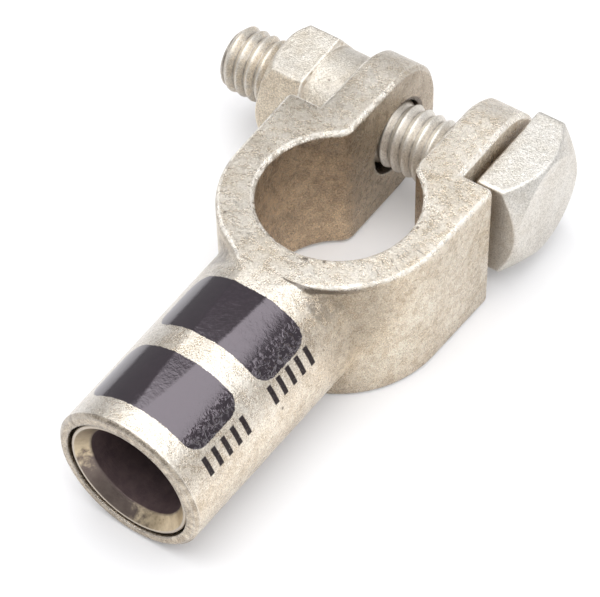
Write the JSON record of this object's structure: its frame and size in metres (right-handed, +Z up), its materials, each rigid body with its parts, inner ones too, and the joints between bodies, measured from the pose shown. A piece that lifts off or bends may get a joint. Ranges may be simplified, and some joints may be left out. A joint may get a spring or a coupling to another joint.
{
  "type": "battery terminal clamp",
  "caption": "Split ring clamp for a battery post with a round crimp barrel, a square head clamp bolt and a shoulder nut.",
  "frame": {"origin": "where the axis of the post bore crosses the axis of the crimp barrel, halfway up the ring", "axes": "+Z up along the post bore, toward the face seen in the picture; -Y along the barrel to the cable mouth; +X along the clamp bolt toward its head"},
  "size_m": [0.0418, 0.0624, 0.0176],
  "materials": {
    "tinned_casting": "satin tin plate over a brass casting, fine sandy skin, two black painted crimp fields on the barrel",
    "tinned_sleeve": "satin tin plate, dark inside",
    "plated_steel": "dull plated steel with fine marks",
    "tinned_nut": "satin tin plate with scratches"
  },
  "bodies": {
    "clamp": {"clamp_body": "tinned_casting", "barrel_liner": "tinned_sleeve"},
    "nut": {"shoulder_nut": "tinned_nut"},
    "bolt": {"clamp_bolt": "plated_steel"}
  },
  "joints": [
    {"name": "nut_spin", "type": "hinge", "parent": "clamp", "child": "nut", "pos_m": [0, 0.01795, 0], "axis": [1, 0, 0], "range_deg": [-1710, 105]},
    {"name": "bolt_slide", "type": "slide", "parent": "clamp", "child": "bolt", "axis": [1, 0, 0], "range_m": [-0.00042, 0.00672]}
  ],
  "couplings": [
    {"joint": "bolt_slide", "follows": "nut_spin", "m_per_rad": -0.00022457}
  ]
}
